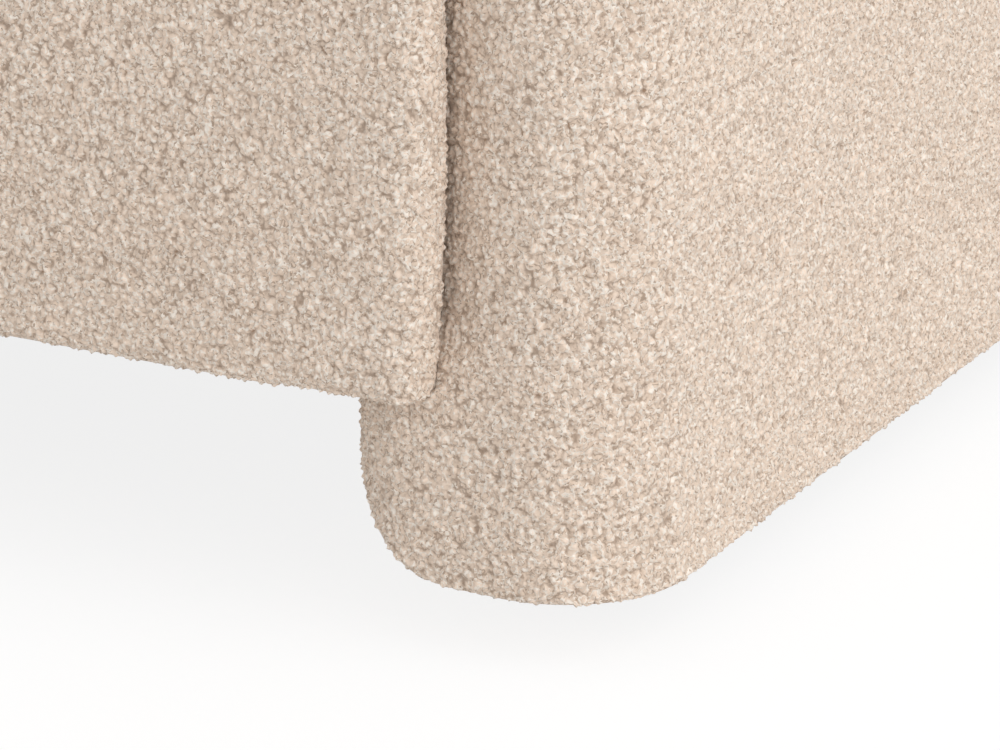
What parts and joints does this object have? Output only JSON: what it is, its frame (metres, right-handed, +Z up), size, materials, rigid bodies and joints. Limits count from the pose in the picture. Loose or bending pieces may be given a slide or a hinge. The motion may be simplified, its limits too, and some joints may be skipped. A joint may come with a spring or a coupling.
{
  "type": "sofa",
  "caption": "Upholstered sofa with thick rounded arms, a raised seat whose nose laps over the arm fronts, loose back cushions, low wooden feet and wooden centre legs.",
  "frame": {"origin": "on the floor under the middle of the sofa's bounding box", "axes": "+X along the width towards the arm on the viewer's right, +Y from the seat's front to the back, +Z up"},
  "size_m": [2.1, 0.9, 0.8163],
  "materials": {
    "boucle": "looped wool-look pile",
    "foam": "open-cell upholstery foam",
    "plywood": "raw plywood",
    "hardboard": "raw hardboard",
    "frame_timber": "planed softwood",
    "leg_wood": "satin lacquered hardwood",
    "dust_cover": "black non-woven cloth and webbing",
    "felt": "pressed felt",
    "steel": "zinc-plated steel"
  },
  "bodies": {
    "root": {"arm_cover_left": "boucle", "arm_cover_right": "boucle", "arm_foam_left": "foam", "arm_foam_right": "foam", "arm_ribs_left": "plywood", "arm_ribs_right": "plywood", "arm_rails_left": "frame_timber", "arm_rails_right": "frame_timber", "arm_outer_panel_left": "hardboard", "arm_outer_panel_right": "hardboard", "arm_inner_panel_left": "hardboard", "arm_inner_panel_right": "hardboard", "arm_bearer_left": "frame_timber", "arm_bearer_right": "frame_timber", "arm_dust_cover_left": "dust_cover", "arm_dust_cover_right": "dust_cover", "foot_front_left": "leg_wood", "foot_front_right": "leg_wood", "foot_rear_left": "leg_wood", "foot_rear_right": "leg_wood", "seat_cover": "boucle", "seat_foam": "foam", "seat_felt": "felt", "seat_springs": "steel", "spring_clips": "steel", "seat_front_rail": "frame_timber", "seat_rear_rail": "frame_timber", "seat_side_rail_left": "frame_timber", "seat_side_rail_right": "frame_timber", "seat_centre_rail": "frame_timber", "seat_corner_blocks": "frame_timber", "seat_dust_cover": "dust_cover", "centre_leg_front": "leg_wood", "centre_leg_rear": "leg_wood", "leg_plates": "steel", "floor_pads": "felt", "hanger_bolts": "steel", "arm_bolts_left": "steel", "arm_bolts_right": "steel", "back_bolts": "steel", "back_cover": "boucle", "back_foam": "foam", "back_upright_left": "plywood", "back_upright_centre": "plywood", "back_upright_right": "plywood", "back_lower_rail": "frame_timber", "back_rear_rail": "frame_timber", "back_top_rail": "frame_timber", "back_webbing": "dust_cover", "back_panel": "hardboard", "back_dust_cover": "dust_cover", "cushion_cover_left": "boucle", "cushion_cover_right": "boucle", "cushion_insert_left": "foam", "cushion_insert_right": "foam"}
  },
  "joints": []
}
